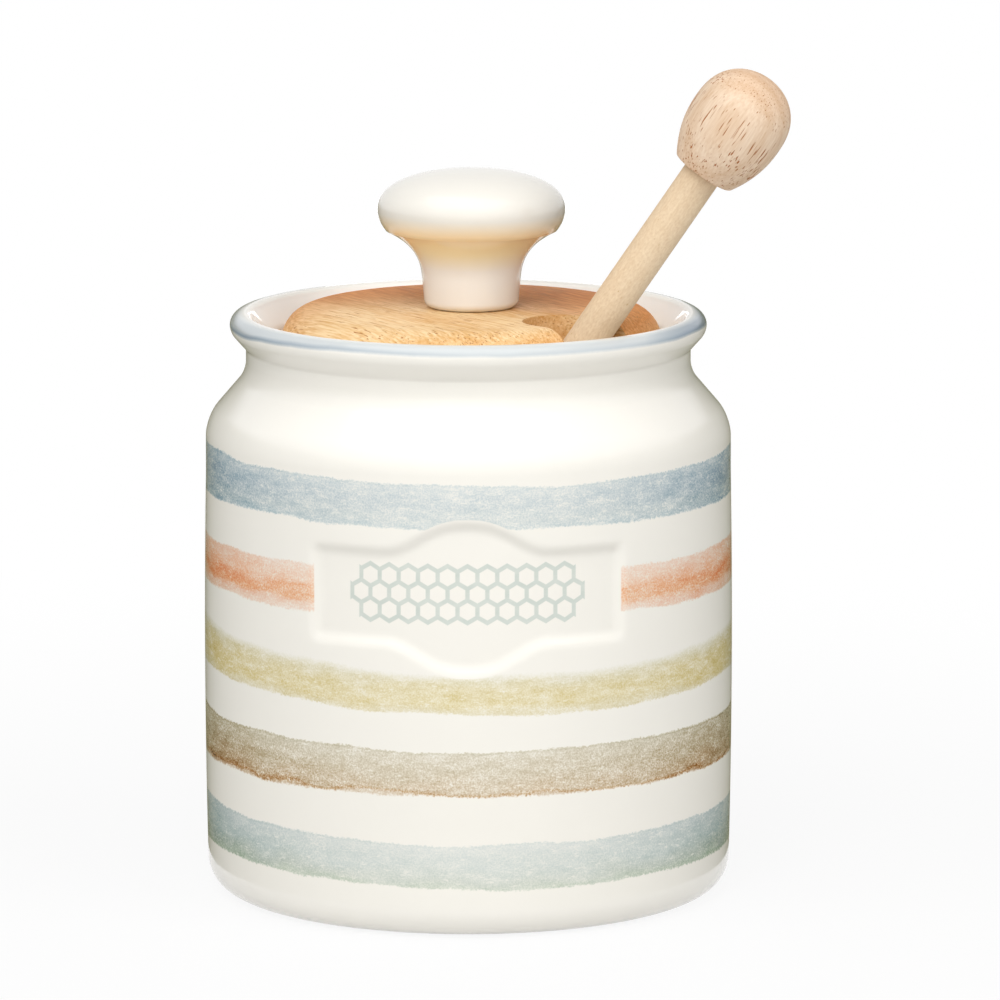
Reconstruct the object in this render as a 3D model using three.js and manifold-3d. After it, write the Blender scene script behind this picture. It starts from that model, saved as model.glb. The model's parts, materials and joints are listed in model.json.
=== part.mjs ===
// A glazed ceramic honey pot with a lift-off beech lid and a wooden honey dipper.
// Millimetres, +Z up. The origin is the centre of the pot's flat underside, and -Y is the front,
// where the sunk label is. The dipper leans to the right through a notch in the lid.
import * as THREE from "three";
import { mergeVertices } from "three/addons/utils/BufferGeometryUtils.js";
import Module from "manifold-3d";

const wasm = await Module();
wasm.setup();

// Shared fits
const GLUE_GAP = 0.3; // room for glue or cement around a piece that is stuck into another
const THREAD_GAP = 0.15; // between the screw's thread and the thread it turns in
const SEAT_GAP = 0.35; // between the dipper and what it leans on
const NOTCH_PLAY = 1.5; // what the notch is wider than that gap, on each side of the dipper
const CUT_OVERRUN = 1; // how far a cutting shape runs past the face it cuts
const MERGE_DISTANCE = 0.0001; // vertices of one mesh that lie this close are one vertex

// Lid: a turned beech disc that drops into the mouth
const LID_RADIUS = 36.1;
const LID_THICKNESS = 10;
const LID_EDGE_ROUND = 6.2; // the big round on the upper edge
const LID_LOWER_ROUND = 0.8;
const LID_ASIDE = 0.6; // the lid lies a little to the right in its seat, within its play

// Pot
const POT_RADIUS = 50.4; // at the fullest part of the belly
const BELLY_SWELL = 0.4; // how much fuller the belly is than its two ends
const POT_WALL = 5;
const POT_FLOOR = 6;
const FOOT_INSET = 7.4; // the bottom corner is a quarter of a squared ellipse, this wide
const FOOT_RISE = 7.1; // and this high
const FLOOR_ROUND = 8;
const SHOULDER_HEIGHT = 90.9; // where the line of the wall meets the line of the shoulder
const SHOULDER_ROUND = 8.5;
const SHOULDER_RISE = 9; // from there up to where the shoulder meets the neck
const SHOULDER_INNER_ROUND = 6;
const NECK_ROUND = 5.8;
const NECK_WALL = 4.2; // at the level of the lid's seat
const NECK_LENGTH = 4.6; // from the top of the shoulder to the crease under the lip
const CREASE_ROUND = 1;
const LIP_PROUD = 3.2; // how far the lip stands out from the neck
const LIP_UNDERSIDE_RISE = 3.6; // of the slope between the crease and the lip's widest part
const LIP_HEIGHT = 3.2; // from there to the top of the rim
const LIP_LOWER_ROUND = 2.6;
const LIP_UPPER_ROUND = 2.4;
const LIP_TOP_INSET = 0.5; // how far the lip draws in towards its top
const LIP_TOP_WIDTH = 3.2; // across the top, before its two edges are rounded
const LIP_INNER_ROUND = 1.5;
const SEAT_BELOW_RIM = 9.1;
const SEAT_OVERLAP = 2; // how far the ledge reaches in under the lid
const SEAT_THICKNESS = 3.4;
const SEAT_ROUND = 0.8;
const LID_PLAY = 2; // all round the lid, at the level of its seat

// Sunk label: a rectangle whose long sides each swell into a bell
const LABEL_WIDTH = 57;
const LABEL_HEIGHT = 16.9;
const LABEL_BELL = 5.2; // how far a bell stands beyond the long side
const LABEL_BELL_WIDTH = 31;
const LABEL_MIDDLE_HEIGHT = 64.8;
const LABEL_DEPTH = 1;

// Knob of the lid: glazed ceramic, held by a screw from below
const KNOB_RADIUS = 17.85;
const KNOB_CROWN = 7.4; // from the widest ring up to the top
const KNOB_STEM_RADIUS = 9.4;
const KNOB_STEM_TAPER = 0.5; // how much narrower the stem is at its foot
const KNOB_STEM_HEIGHT = 6;
const KNOB_WIDEST_HEIGHT = 18.9; // of the widest ring above the lid
const KNOB_ROLL_RISE = 10; // under the widest ring, the section starts as an ellipse this high
const KNOB_ROLL_DEGREES = 24; // and follows it so far
const KNOB_FOOT_ROUND = 1.7;

// Fixing inside the knob
const SCREW_RADIUS = 2;
const SCREW_SHORT = 1; // how far the screw's end stays inside the far end of the insert
const SCREW_HEAD_RADIUS = 3.7;
const SCREW_HEAD_HEIGHT = 2.4;
const SCREW_HEAD_ROUND = 1.2;
const SCREW_SLOT_WIDTH = 0.9; // of each arm of the cross recess
const SCREW_SLOT_LENGTH = 4.4;
const SCREW_SLOT_DEPTH = 1.3;
const SCREW_POINT = 0.8;
const WASHER_RADIUS = 4.6;
const WASHER_THICKNESS = 0.8;
const COUNTERBORE_DEPTH = 3.8;
const COUNTERBORE_CLEARANCE = 0.5; // round the washer
const INSERT_WALL = 1.5;
const INSERT_LENGTH = 13;
const INSERT_FLANGE = 0.6; // each ridge that keys the insert into the cement stands this proud
const INSERT_RIDGES = 4;
const INSERT_RIDGE_WIDTH = 1.2;

// Dipper, in its own frame: it is built along +Z with the lower end of the head at zero
const SHAFT_RADIUS = 3.65;
const DIPPER_LENGTH = 171;
const GRIP_LENGTH = 21.4;
const GRIP_RADIUS = 9.35;
const GRIP_FOOT_RADIUS = 6.1;
const GRIP_WIDEST = 11; // of the widest ring above the foot
const GRIP_SOCKET_DEPTH = 11;
const HEAD_RADIUS = 8.6;
const HEAD_TAPER = 1.5; // how much smaller the end ridges are than the middle one
const HEAD_CORE_RADIUS = 5.6;
const HEAD_RIDGES = 7;
const RIDGE_WIDTH = 2.9;
const GROOVE_WIDTH = 1.9;
const RIDGE_ROUND = 0.6;
const HEAD_TIP = 2.6; // the domed end below the last ridge
const HEAD_SOCKET_DEPTH = 20;

// How the dipper stands: degrees of lean, and where it goes through the lid
const LEAN_RIGHT_DEGREES = 33.9;
const LEAN_FRONT_DEGREES = 6;
const NOTCH_TURN_DEGREES = -46.6; // of the notch round the lid, from +X
const CROSSING_FROM_EDGE = 7.6; // the shaft's axis, half way through the lid, from the lid's edge
const NOTCH_DEPTH = 10.7; // the centre of the notch's round end, from the lid's edge

// Shapes of the curved outlines, as shares and powers
const FOOT_POWER = 2.3; // a plain ellipse has the power 2
const LABEL_BELL_POWER = 1.24; // more than 1 makes the bell broader at its crest
const GRIP_LOWER_POWER = 2.1;
const GRIP_UPPER_POWER = 2.5;
const CROWN_POWER = 2.2;
const SWEEP_LOWER_SHARES = [0.05, 0.5]; // the two handles of the sweep from the knob's stem to its cap
const SWEEP_UPPER_SHARES = [0.42, 0.78];

// Number of sides of each kind of turned piece
const POT_SIDES = 60;
const LID_SIDES = 60;
const KNOB_SIDES = 36;
const DIPPER_SIDES = 24;
const FIXING_SIDES = 20;
const BISECTIONS = 30; // steps that find how deep the dipper stands

// Heights and radii that follow from the sizes above
const neckStart = SHOULDER_HEIGHT + SHOULDER_RISE;
const creaseHeight = neckStart + NECK_LENGTH;
const lipHeight = creaseHeight + LIP_UNDERSIDE_RISE;
const rimHeight = lipHeight + LIP_HEIGHT;
const seatHeight = rimHeight - SEAT_BELOW_RIM;
const mouthRadius = LID_RADIUS + LID_PLAY;
const neckRadius = mouthRadius + NECK_WALL;
const throatRadius = LID_RADIUS - SEAT_OVERLAP;
const wallEndRadius = POT_RADIUS - BELLY_SWELL;
const innerRadius = POT_RADIUS - POT_WALL;
const crossingRadius = LID_RADIUS - CROSSING_FROM_EDGE;
const notchEndRadius = LID_RADIUS - NOTCH_DEPTH;
const washerHeight = COUNTERBORE_DEPTH - WASHER_THICKNESS;
const screwLength = LID_THICKNESS - washerHeight + INSERT_LENGTH - SCREW_SHORT;
const shaftHoleRadius = SHAFT_RADIUS + GLUE_GAP;

const degrees = THREE.MathUtils.degToRad;
const point = (x, y) => new THREE.Vector2(x, y);

// Points of an elliptic arc about a centre, from one angle to another in degrees.
function arc(centreX, centreY, radiusX, radiusY, from, to, steps) {
  const points = [];
  for (let i = 0; i <= steps; i++) {
    const angle = degrees(from + ((to - from) * i) / steps);
    points.push(point(centreX + radiusX * Math.cos(angle), centreY + radiusY * Math.sin(angle)));
  }
  return points;
}

// A quarter of a circle of radius 1 from (0, 1) to (1, 0), fuller in the corner than a true circle
// where the power is more than 2.
function squaredQuarter(power, steps) {
  const exponent = 2 / power;
  return arc(0, 0, 1, 1, 90, 0, steps).map(({ x, y }) => point(Math.abs(x) ** exponent, y ** exponent));
}

// An outline through corners [x, y, round], where each corner with a round is turned into an arc.
// A round is made smaller where it and its neighbour would need more than the side between them.
function rounded(corners, steps = 4) {
  const spots = corners.map(([x, y]) => point(x, y));
  const inner = (i) => i > 0 && i < corners.length - 1;
  const toward = (i, k) => spots[k].clone().sub(spots[i]).normalize();
  const halfAngle = (i) => Math.acos(toward(i, i - 1).dot(toward(i, i + 1))) / 2;
  const wanted = corners.map(([, , round], i) => (inner(i) && round ? round / Math.tan(halfAngle(i)) : 0));
  const points = [];
  spots.forEach((corner, i) => {
    if (!wanted[i]) {
      points.push(corner);
      return;
    }
    const room = (k) => (corner.distanceTo(spots[k]) * wanted[i]) / (wanted[i] + wanted[k]);
    const reach = Math.min(wanted[i], room(i - 1), room(i + 1));
    const radius = reach * Math.tan(halfAngle(i));
    const middle = toward(i, i - 1).add(toward(i, i + 1)).normalize();
    const centre = corner.clone().addScaledVector(middle, Math.hypot(radius, reach));
    const start = corner.clone().addScaledVector(toward(i, i - 1), reach).sub(centre);
    const end = corner.clone().addScaledVector(toward(i, i + 1), reach).sub(centre);
    const turn = Math.atan2(start.cross(end), start.dot(end));
    for (let k = 0; k <= steps; k++) {
      points.push(start.clone().rotateAround(point(0, 0), (turn * k) / steps).add(centre));
    }
  });
  return points;
}

// A solid of revolution about Z. The outline runs from the axis, out, up and back to the axis,
// or round a closed loop the same way.
function turned(outline, sides) {
  return new THREE.LatheGeometry(outline, sides).rotateX(Math.PI / 2);
}

// The outline of a plain rod or disc between two heights.
function rod(radius, bottom, top) {
  return [point(0, bottom), point(radius, bottom), point(radius, top), point(0, top)];
}

// A closed outline for a ring: the first point is repeated at the end.
const closed = (outline) => [...outline, outline[0].clone()];

function block(sizeX, sizeY, sizeZ, x, y, z) {
  return new THREE.BoxGeometry(sizeX, sizeY, sizeZ).translate(x, y, z);
}

function toSolid(geometry) {
  const bare = geometry.clone();
  bare.deleteAttribute("normal");
  bare.deleteAttribute("uv");
  const merged = mergeVertices(bare, MERGE_DISTANCE);
  return new wasm.Manifold(
    new wasm.Mesh({
      numProp: 3,
      vertProperties: merged.attributes.position.array,
      triVerts: new Uint32Array(merged.index.array),
    }),
  );
}

function toGeometry(solid) {
  const mesh = solid.getMesh();
  const geometry = new THREE.BufferGeometry();
  geometry.setAttribute("position", new THREE.BufferAttribute(mesh.vertProperties, 3));
  geometry.setIndex(new THREE.BufferAttribute(mesh.triVerts, 1));
  return geometry;
}

function cut(geometry, ...cutters) {
  return toGeometry(cutters.reduce((rest, cutter) => rest.subtract(cutter), toSolid(geometry)));
}

// Pot

// The bottom corner, from the flat underside out and up to the wall.
function footOutline() {
  return squaredQuarter(FOOT_POWER, 6).map(({ x, y }) =>
    point(wallEndRadius - FOOT_INSET * (1 - x), FOOT_RISE * (1 - y)),
  );
}

// The outer wall between foot and shoulder, a shallow parabola.
function bellyOutline() {
  const bottom = FOOT_RISE;
  const top = SHOULDER_HEIGHT - SHOULDER_ROUND;
  const steps = 4;
  const points = [];
  for (let i = 1; i < steps; i++) {
    const along = (2 * i) / steps - 1;
    points.push(point(POT_RADIUS - BELLY_SWELL * along * along, bottom + ((top - bottom) * i) / steps));
  }
  return points;
}

// The whole section of the wall: underside, outside, rim, mouth, seat and inside.
function potOutline() {
  const lipRadius = neckRadius + LIP_PROUD;
  const lipTopRadius = lipRadius - LIP_TOP_INSET;
  const outside = [
    [wallEndRadius, FOOT_RISE],
    [wallEndRadius, SHOULDER_HEIGHT, SHOULDER_ROUND],
    [neckRadius, neckStart, NECK_ROUND],
    [neckRadius, creaseHeight, CREASE_ROUND],
    [lipRadius, lipHeight, LIP_LOWER_ROUND],
    [lipTopRadius, rimHeight, LIP_UPPER_ROUND],
    [lipTopRadius - LIP_TOP_WIDTH, rimHeight, LIP_INNER_ROUND],
    [mouthRadius, seatHeight + SEAT_ROUND],
  ];
  const inside = [
    [mouthRadius - SEAT_ROUND, seatHeight],
    [throatRadius, seatHeight, SEAT_ROUND],
    [throatRadius, seatHeight - SEAT_THICKNESS, SEAT_ROUND],
    [innerRadius, SHOULDER_HEIGHT - SEAT_THICKNESS, SHOULDER_INNER_ROUND],
    [innerRadius, POT_FLOOR, FLOOR_ROUND],
    [0, POT_FLOOR],
  ];
  return [
    point(0, 0),
    ...footOutline(),
    ...bellyOutline(),
    ...rounded(outside).slice(1),
    ...rounded(inside, 3),
  ];
}

// One long side of the label with its bell, from left to right; side is 1 above and -1 below.
function labelSide(side) {
  const steps = 12;
  const points = [];
  for (let i = 0; i <= steps; i++) {
    const along = (2 * i) / steps - 1;
    const bell = (1 + Math.cos(Math.PI * Math.abs(along) ** LABEL_BELL_POWER)) / 2;
    points.push(point((along * LABEL_BELL_WIDTH) / 2, side * (LABEL_HEIGHT / 2 + LABEL_BELL * bell)));
  }
  return points;
}

// The label is cut to an even depth: a prism through the front wall, less the core that stays.
function labelCutter() {
  const outline = [
    point(-LABEL_WIDTH / 2, -LABEL_HEIGHT / 2),
    ...labelSide(-1),
    point(LABEL_WIDTH / 2, -LABEL_HEIGHT / 2),
    point(LABEL_WIDTH / 2, LABEL_HEIGHT / 2),
    ...labelSide(1).reverse(),
    point(-LABEL_WIDTH / 2, LABEL_HEIGHT / 2),
  ];
  const prism = new THREE.ExtrudeGeometry(new THREE.Shape(outline), {
    depth: POT_RADIUS + CUT_OVERRUN,
    bevelEnabled: false,
  });
  prism.rotateX(Math.PI / 2).translate(0, 0, LABEL_MIDDLE_HEIGHT);
  const floorRadius = POT_RADIUS - LABEL_DEPTH;
  const core = turned(rod(floorRadius, 0, rimHeight), POT_SIDES);
  return toSolid(prism).subtract(toSolid(core));
}

function potBody() {
  return cut(turned(potOutline(), POT_SIDES), labelCutter());
}

// Lid

// How far the shaft moves sideways for each millimetre it rises.
const leanX = Math.tan(degrees(LEAN_RIGHT_DEGREES));
const leanY = -Math.tan(degrees(LEAN_FRONT_DEGREES));
const notchOut = point(Math.cos(degrees(NOTCH_TURN_DEGREES)), Math.sin(degrees(NOTCH_TURN_DEGREES)));
const notchAcross = point(-notchOut.y, notchOut.x);

// Half the width of the notch: the slanting shaft's own section, plus its drift through the
// lid's thickness, plus the gap and the play on each side.
function notchHalfWidth() {
  const drift = point(leanX, leanY);
  const across = drift.dot(notchAcross);
  const section = SHAFT_RADIUS * Math.sqrt(1 + across * across);
  return section + (Math.abs(across) * LID_THICKNESS) / 2 + SEAT_GAP + NOTCH_PLAY;
}

// A slot with a round inner end that runs out through the edge of the lid.
function notchCutter() {
  const half = notchHalfWidth();
  const length = NOTCH_DEPTH + CUT_OVERRUN;
  const outline = [...arc(0, 0, half, half, 90, 270, 16), point(length, -half), point(length, half)];
  const slot = new THREE.ExtrudeGeometry(new THREE.Shape(outline), {
    depth: LID_THICKNESS + 2 * CUT_OVERRUN,
    bevelEnabled: false,
  });
  slot.translate(notchEndRadius, 0, -CUT_OVERRUN);
  return toSolid(slot.rotateZ(degrees(NOTCH_TURN_DEGREES)));
}

function lidDisc() {
  const holeRadius = SCREW_RADIUS + GLUE_GAP;
  const boreRadius = WASHER_RADIUS + COUNTERBORE_CLEARANCE;
  const outline = rounded(
    [
      [holeRadius, COUNTERBORE_DEPTH],
      [boreRadius, COUNTERBORE_DEPTH],
      [boreRadius, 0],
      [LID_RADIUS, 0, LID_LOWER_ROUND],
      [LID_RADIUS, LID_THICKNESS, LID_EDGE_ROUND],
      [holeRadius, LID_THICKNESS],
    ],
    7,
  );
  return cut(turned(closed(outline), LID_SIDES), notchCutter());
}

// Knob of the lid and its fixing

const insertRadius = SCREW_RADIUS + THREAD_GAP + INSERT_WALL;
const insertHoleRadius = insertRadius + INSERT_FLANGE + GLUE_GAP;

// The outside of the knob, from the foot's outer corner up and over to the axis.
function knobOutline() {
  const footRadius = KNOB_STEM_RADIUS - KNOB_STEM_TAPER;
  const stem = rounded([
    [insertHoleRadius, 0],
    [footRadius, 0, KNOB_FOOT_ROUND],
    [KNOB_STEM_RADIUS, KNOB_STEM_HEIGHT],
  ]);
  const roll = arc(0, KNOB_WIDEST_HEIGHT, KNOB_RADIUS, KNOB_ROLL_RISE, -KNOB_ROLL_DEGREES, 0, 3);
  const start = stem.pop();
  const end = roll[0];
  const side = end.clone().sub(start);
  const handle = ([across, up]) => point(start.x + side.x * across, start.y + side.y * up);
  const sweep = new THREE.CubicBezierCurve(
    start,
    handle(SWEEP_LOWER_SHARES),
    handle(SWEEP_UPPER_SHARES),
    end,
  );
  const crown = squaredQuarter(CROWN_POWER, 9).map(({ x, y }) =>
    point(KNOB_RADIUS * x, KNOB_WIDEST_HEIGHT + KNOB_CROWN * y),
  );
  return [...stem, ...sweep.getPoints(7).slice(0, -1), ...roll.slice(0, -1), ...crown.reverse()];
}

function lidKnob() {
  const holeDepth = INSERT_LENGTH + GLUE_GAP;
  return turned([point(0, holeDepth), point(insertHoleRadius, holeDepth), ...knobOutline()], KNOB_SIDES);
}

// A brass thread insert with rings around it that key into the cement.
function knobInsert() {
  const bore = SCREW_RADIUS + THREAD_GAP;
  const pitch = (INSERT_LENGTH - INSERT_RIDGE_WIDTH) / (INSERT_RIDGES - 1);
  const outside = [];
  for (let i = 0; i < INSERT_RIDGES; i++) {
    const from = i * pitch;
    const to = from + INSERT_RIDGE_WIDTH;
    outside.push(point(insertRadius + INSERT_FLANGE, from), point(insertRadius + INSERT_FLANGE, to));
    if (i < INSERT_RIDGES - 1) outside.push(point(insertRadius, to), point(insertRadius, from + pitch));
  }
  return turned(closed([point(bore, 0), ...outside, point(bore, INSERT_LENGTH)]), FIXING_SIDES);
}

// A pan-head machine screw with a cross recess, its head's bearing face at zero.
function knobScrew() {
  const outline = rounded([
    [0, -SCREW_HEAD_HEIGHT],
    [SCREW_HEAD_RADIUS, -SCREW_HEAD_HEIGHT, SCREW_HEAD_ROUND],
    [SCREW_HEAD_RADIUS, 0],
    [SCREW_RADIUS, 0],
    [SCREW_RADIUS, screwLength - SCREW_POINT],
    [SCREW_RADIUS - SCREW_POINT, screwLength],
    [0, screwLength],
  ]);
  const depth = SCREW_SLOT_DEPTH + CUT_OVERRUN;
  const middle = SCREW_SLOT_DEPTH - SCREW_HEAD_HEIGHT - depth / 2;
  const armX = block(SCREW_SLOT_LENGTH, SCREW_SLOT_WIDTH, depth, 0, 0, middle);
  const armY = block(SCREW_SLOT_WIDTH, SCREW_SLOT_LENGTH, depth, 0, 0, middle);
  return cut(turned(outline, FIXING_SIDES), toSolid(armX), toSolid(armY));
}

function screwWasher() {
  const hole = SCREW_RADIUS + GLUE_GAP;
  const outline = [
    point(hole, 0),
    point(WASHER_RADIUS, 0),
    point(WASHER_RADIUS, WASHER_THICKNESS),
    point(hole, WASHER_THICKNESS),
  ];
  return turned(closed(outline), FIXING_SIDES);
}

// Dipper

const gripBase = DIPPER_LENGTH - GRIP_LENGTH;
const headLength = HEAD_TIP + HEAD_RIDGES * RIDGE_WIDTH + (HEAD_RIDGES - 1) * GROOVE_WIDTH;
const shaftBottom = headLength - HEAD_SOCKET_DEPTH + GLUE_GAP;
const shaftTop = gripBase + GRIP_SOCKET_DEPTH - GLUE_GAP;

function dipperShaft() {
  return turned(rod(SHAFT_RADIUS, shaftBottom, shaftTop), DIPPER_SIDES);
}

// The grip swells from its flat foot to its widest ring, and closes over in a blunt dome.
function gripRadiusAt(height) {
  if (height < GRIP_WIDEST) {
    const left = 1 - height / GRIP_WIDEST;
    return GRIP_RADIUS - (GRIP_RADIUS - GRIP_FOOT_RADIUS) * Math.pow(left, GRIP_LOWER_POWER);
  }
  const up = (height - GRIP_WIDEST) / (GRIP_LENGTH - GRIP_WIDEST);
  return GRIP_RADIUS * Math.sqrt(Math.max(0, 1 - Math.pow(up, GRIP_UPPER_POWER)));
}

function dipperGrip() {
  const steps = 16;
  const socketEnd = gripBase + GRIP_SOCKET_DEPTH;
  const points = [point(0, socketEnd), point(shaftHoleRadius, socketEnd), point(shaftHoleRadius, gripBase)];
  for (let i = 0; i <= steps; i++) {
    // the steps crowd together towards the top, where the dome turns over
    const height = GRIP_LENGTH * Math.sin((Math.PI / 2) * (i / steps));
    points.push(point(gripRadiusAt(height), gripBase + height));
  }
  points[points.length - 1].x = 0;
  return turned(points, DIPPER_SIDES);
}

// Radius of a ridge of the head, from the lowest to the highest.
function ridgeRadius(index) {
  const along = (2 * index) / (HEAD_RIDGES - 1) - 1;
  return HEAD_RADIUS - HEAD_TAPER * along * along;
}

// The outline of the head's outside, from the axis at its tip up to its top face.
function headOutline() {
  const corners = [[0, 0], [ridgeRadius(0) - HEAD_TIP, 0, HEAD_TIP / 2]];
  for (let i = 0; i < HEAD_RIDGES; i++) {
    const bottom = HEAD_TIP + i * (RIDGE_WIDTH + GROOVE_WIDTH);
    const radius = ridgeRadius(i);
    if (i > 0) corners.push([HEAD_CORE_RADIUS, bottom]);
    corners.push([radius, bottom, RIDGE_ROUND], [radius, bottom + RIDGE_WIDTH, RIDGE_ROUND]);
    if (i < HEAD_RIDGES - 1) corners.push([HEAD_CORE_RADIUS, bottom + RIDGE_WIDTH]);
  }
  corners.push([shaftHoleRadius, headLength]);
  return rounded(corners, 1);
}

function dipperHead() {
  const bottom = headLength - HEAD_SOCKET_DEPTH;
  return turned([...headOutline(), point(shaftHoleRadius, bottom), point(0, bottom)], DIPPER_SIDES);
}

// Where the shaft's axis goes through the lid, half way down its thickness: it leans against
// the right-hand side of the notch.
function crossing() {
  const spot = notchOut.clone().multiplyScalar(crossingRadius).addScaledVector(notchAcross, NOTCH_PLAY);
  return new THREE.Vector3(LID_ASIDE + spot.x, spot.y, seatHeight + LID_THICKNESS / 2);
}

const dipperTurn = new THREE.Quaternion().setFromUnitVectors(
  new THREE.Vector3(0, 0, 1),
  new THREE.Vector3(leanX, leanY, 1).normalize(),
);

// Whether the head is clear of the wall, the floor and the round between them when its lower end
// is this far below the crossing.
function headIsClear(below) {
  for (const { x: radius, y: height } of headOutline()) {
    for (let i = 0; i < DIPPER_SIDES; i++) {
      const angle = (2 * Math.PI * i) / DIPPER_SIDES;
      const spot = new THREE.Vector3(radius * Math.cos(angle), radius * Math.sin(angle), height - below);
      spot.applyQuaternion(dipperTurn).add(crossing());
      const out = Math.max(0, Math.hypot(spot.x, spot.y) - (innerRadius - FLOOR_ROUND));
      const down = Math.max(0, POT_FLOOR + FLOOR_ROUND - spot.z);
      if (Math.hypot(out, down) > FLOOR_ROUND - SEAT_GAP) return false;
    }
  }
  return true;
}

// The dipper slides down through the notch until its head leans on the wall or stands on the floor.
function lengthBelowCrossing() {
  let short = headLength;
  let long = DIPPER_LENGTH - GRIP_LENGTH;
  for (let i = 0; i < BISECTIONS; i++) {
    const middle = (short + long) / 2;
    if (headIsClear(middle)) short = middle;
    else long = middle;
  }
  return short;
}

// Materials

function finish(color, roughness, metalness = 0) {
  return new THREE.MeshStandardMaterial({ color, roughness, metalness });
}
const glaze = finish(0xf4efe4, 0.12);
const beech = finish(0xd9a871, 0.55);
const dowel = finish(0xe6cfa6, 0.6);
const gripWood = finish(0xe2c3a0, 0.6);
const brass = finish(0xc9a24f, 0.35, 1);
const steel = finish(0xb9bcc0, 0.3, 1);

function piece(name, geometry, material, height = 0) {
  const mesh = new THREE.Mesh(geometry, material);
  mesh.name = name;
  mesh.position.z = height;
  return mesh;
}

// Assembly

const lid = new THREE.Group();
lid.add(
  piece("lid_disc", lidDisc(), beech),
  piece("lid_knob", lidKnob(), glaze, LID_THICKNESS),
  piece("knob_insert", knobInsert(), brass, LID_THICKNESS),
  piece("screw_washer", screwWasher(), steel, washerHeight),
  piece("knob_screw", knobScrew(), steel, washerHeight),
);
lid.position.set(LID_ASIDE, 0, seatHeight);

const dipper = new THREE.Group();
dipper.add(
  piece("dipper_shaft", dipperShaft(), dowel),
  piece("dipper_grip", dipperGrip(), gripWood),
  piece("dipper_head", dipperHead(), beech),
);
dipper.quaternion.copy(dipperTurn);
const drop = new THREE.Vector3(0, 0, -lengthBelowCrossing()).applyQuaternion(dipperTurn);
dipper.position.copy(crossing().add(drop));

const honeyPot = new THREE.Group();
honeyPot.add(piece("pot_body", potBody(), glaze), lid, dipper);

export default honeyPot;
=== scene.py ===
# %% [markdown]
# # A glazed honey pot with a beech lid and a wooden dipper
# Everything in this set was turned: the pot on a potter's wheel, the lid and the dipper on a
# wood lathe. So the lesson is mostly about one move, an outline that is spun round an axis, and
# about the two finishes that make such a set: painted bands under a clear glaze, and bare wood.
#
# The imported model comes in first. It is the frame: its bodies move the pieces that are modelled
# here, and its box is the size that the finished set has to keep.

# %% Load the frame
import json
import math

import bpy
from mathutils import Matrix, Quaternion, Vector
from mathutils.geometry import interpolate_bezier


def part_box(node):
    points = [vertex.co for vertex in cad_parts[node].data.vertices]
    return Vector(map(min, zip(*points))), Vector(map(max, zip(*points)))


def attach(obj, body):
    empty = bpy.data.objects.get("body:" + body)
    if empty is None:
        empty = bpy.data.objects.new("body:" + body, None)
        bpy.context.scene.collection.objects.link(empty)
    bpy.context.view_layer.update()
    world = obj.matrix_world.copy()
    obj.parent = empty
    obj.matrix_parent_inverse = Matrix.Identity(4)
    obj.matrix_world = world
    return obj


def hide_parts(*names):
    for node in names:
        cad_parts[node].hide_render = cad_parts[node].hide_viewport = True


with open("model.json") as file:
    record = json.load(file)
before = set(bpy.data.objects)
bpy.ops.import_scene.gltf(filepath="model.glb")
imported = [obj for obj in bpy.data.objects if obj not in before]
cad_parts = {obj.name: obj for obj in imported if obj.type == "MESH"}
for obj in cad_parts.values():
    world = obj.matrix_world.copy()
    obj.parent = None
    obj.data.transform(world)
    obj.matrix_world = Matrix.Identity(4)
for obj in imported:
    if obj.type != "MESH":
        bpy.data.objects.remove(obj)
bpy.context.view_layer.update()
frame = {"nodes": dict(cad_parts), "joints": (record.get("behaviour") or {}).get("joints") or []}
print("nodes:", sorted(frame["nodes"]))

# %% [markdown]
# A potter thinks in millimetres and Blender's scene is in metres, so sizes are written in
# millimetres and multiplied by MM where they are used. Operators act on whatever is selected,
# so a small helper selects one piece and nothing else, and another picks vertices in edit mode.

# %% Units and selection
MM = 0.001
UP = Vector((0, 0, 1))


def deselect():
    """Leave nothing selected."""
    bpy.ops.object.select_all(action="DESELECT")


def only(piece):
    """Select one piece and make it active."""
    deselect()
    piece.select_set(True)
    bpy.context.view_layer.objects.active = piece


def pick_vertices(piece, wanted):
    """Select the vertices whose place in millimetres passes the test, and open edit mode."""
    bpy.ops.object.mode_set(mode="EDIT")
    bpy.ops.mesh.select_mode(type="VERT")
    bpy.ops.mesh.select_all(action="DESELECT")
    bpy.ops.object.mode_set(mode="OBJECT")
    for vertex in piece.data.vertices:
        vertex.select = wanted(vertex.co / MM)
    bpy.ops.object.mode_set(mode="EDIT")


def apply_modifier(piece, kind, **settings):
    """Put a modifier on a piece, set it up and apply it."""
    only(piece)
    modifier = piece.modifiers.new(kind.lower(), kind)
    for name, value in settings.items():
        setattr(modifier, name, value)
    bpy.ops.object.modifier_apply(modifier=modifier.name)


# %% [markdown]
# ## The camera
# The photograph was taken with a long lens from a little above the rim. A long lens keeps the
# sides of the pot nearly parallel. The camera looks along +Y and down by 9.8 degrees, from
# 1.6 m away, and its lens was fitted to the ellipses of the rim and the foot.

# %% Set the camera
AIM = Vector((6.03, 0, 74.9)) * MM
CAMERA_DISTANCE = 1600 * MM
CAMERA_PITCH = math.radians(9.8)
LENS, SENSOR_WIDTH = 301.8, 36  # millimetres

back = Vector((0, -math.cos(CAMERA_PITCH), math.sin(CAMERA_PITCH)))
bpy.ops.object.camera_add(
    location=AIM + back * CAMERA_DISTANCE,
    rotation=(math.pi / 2 - CAMERA_PITCH, 0, 0),
)
camera = bpy.context.object
camera.data.lens = LENS
camera.data.sensor_width = SENSOR_WIDTH
bpy.context.scene.camera = camera
print("camera at", [round(v, 3) for v in camera.location])

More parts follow.
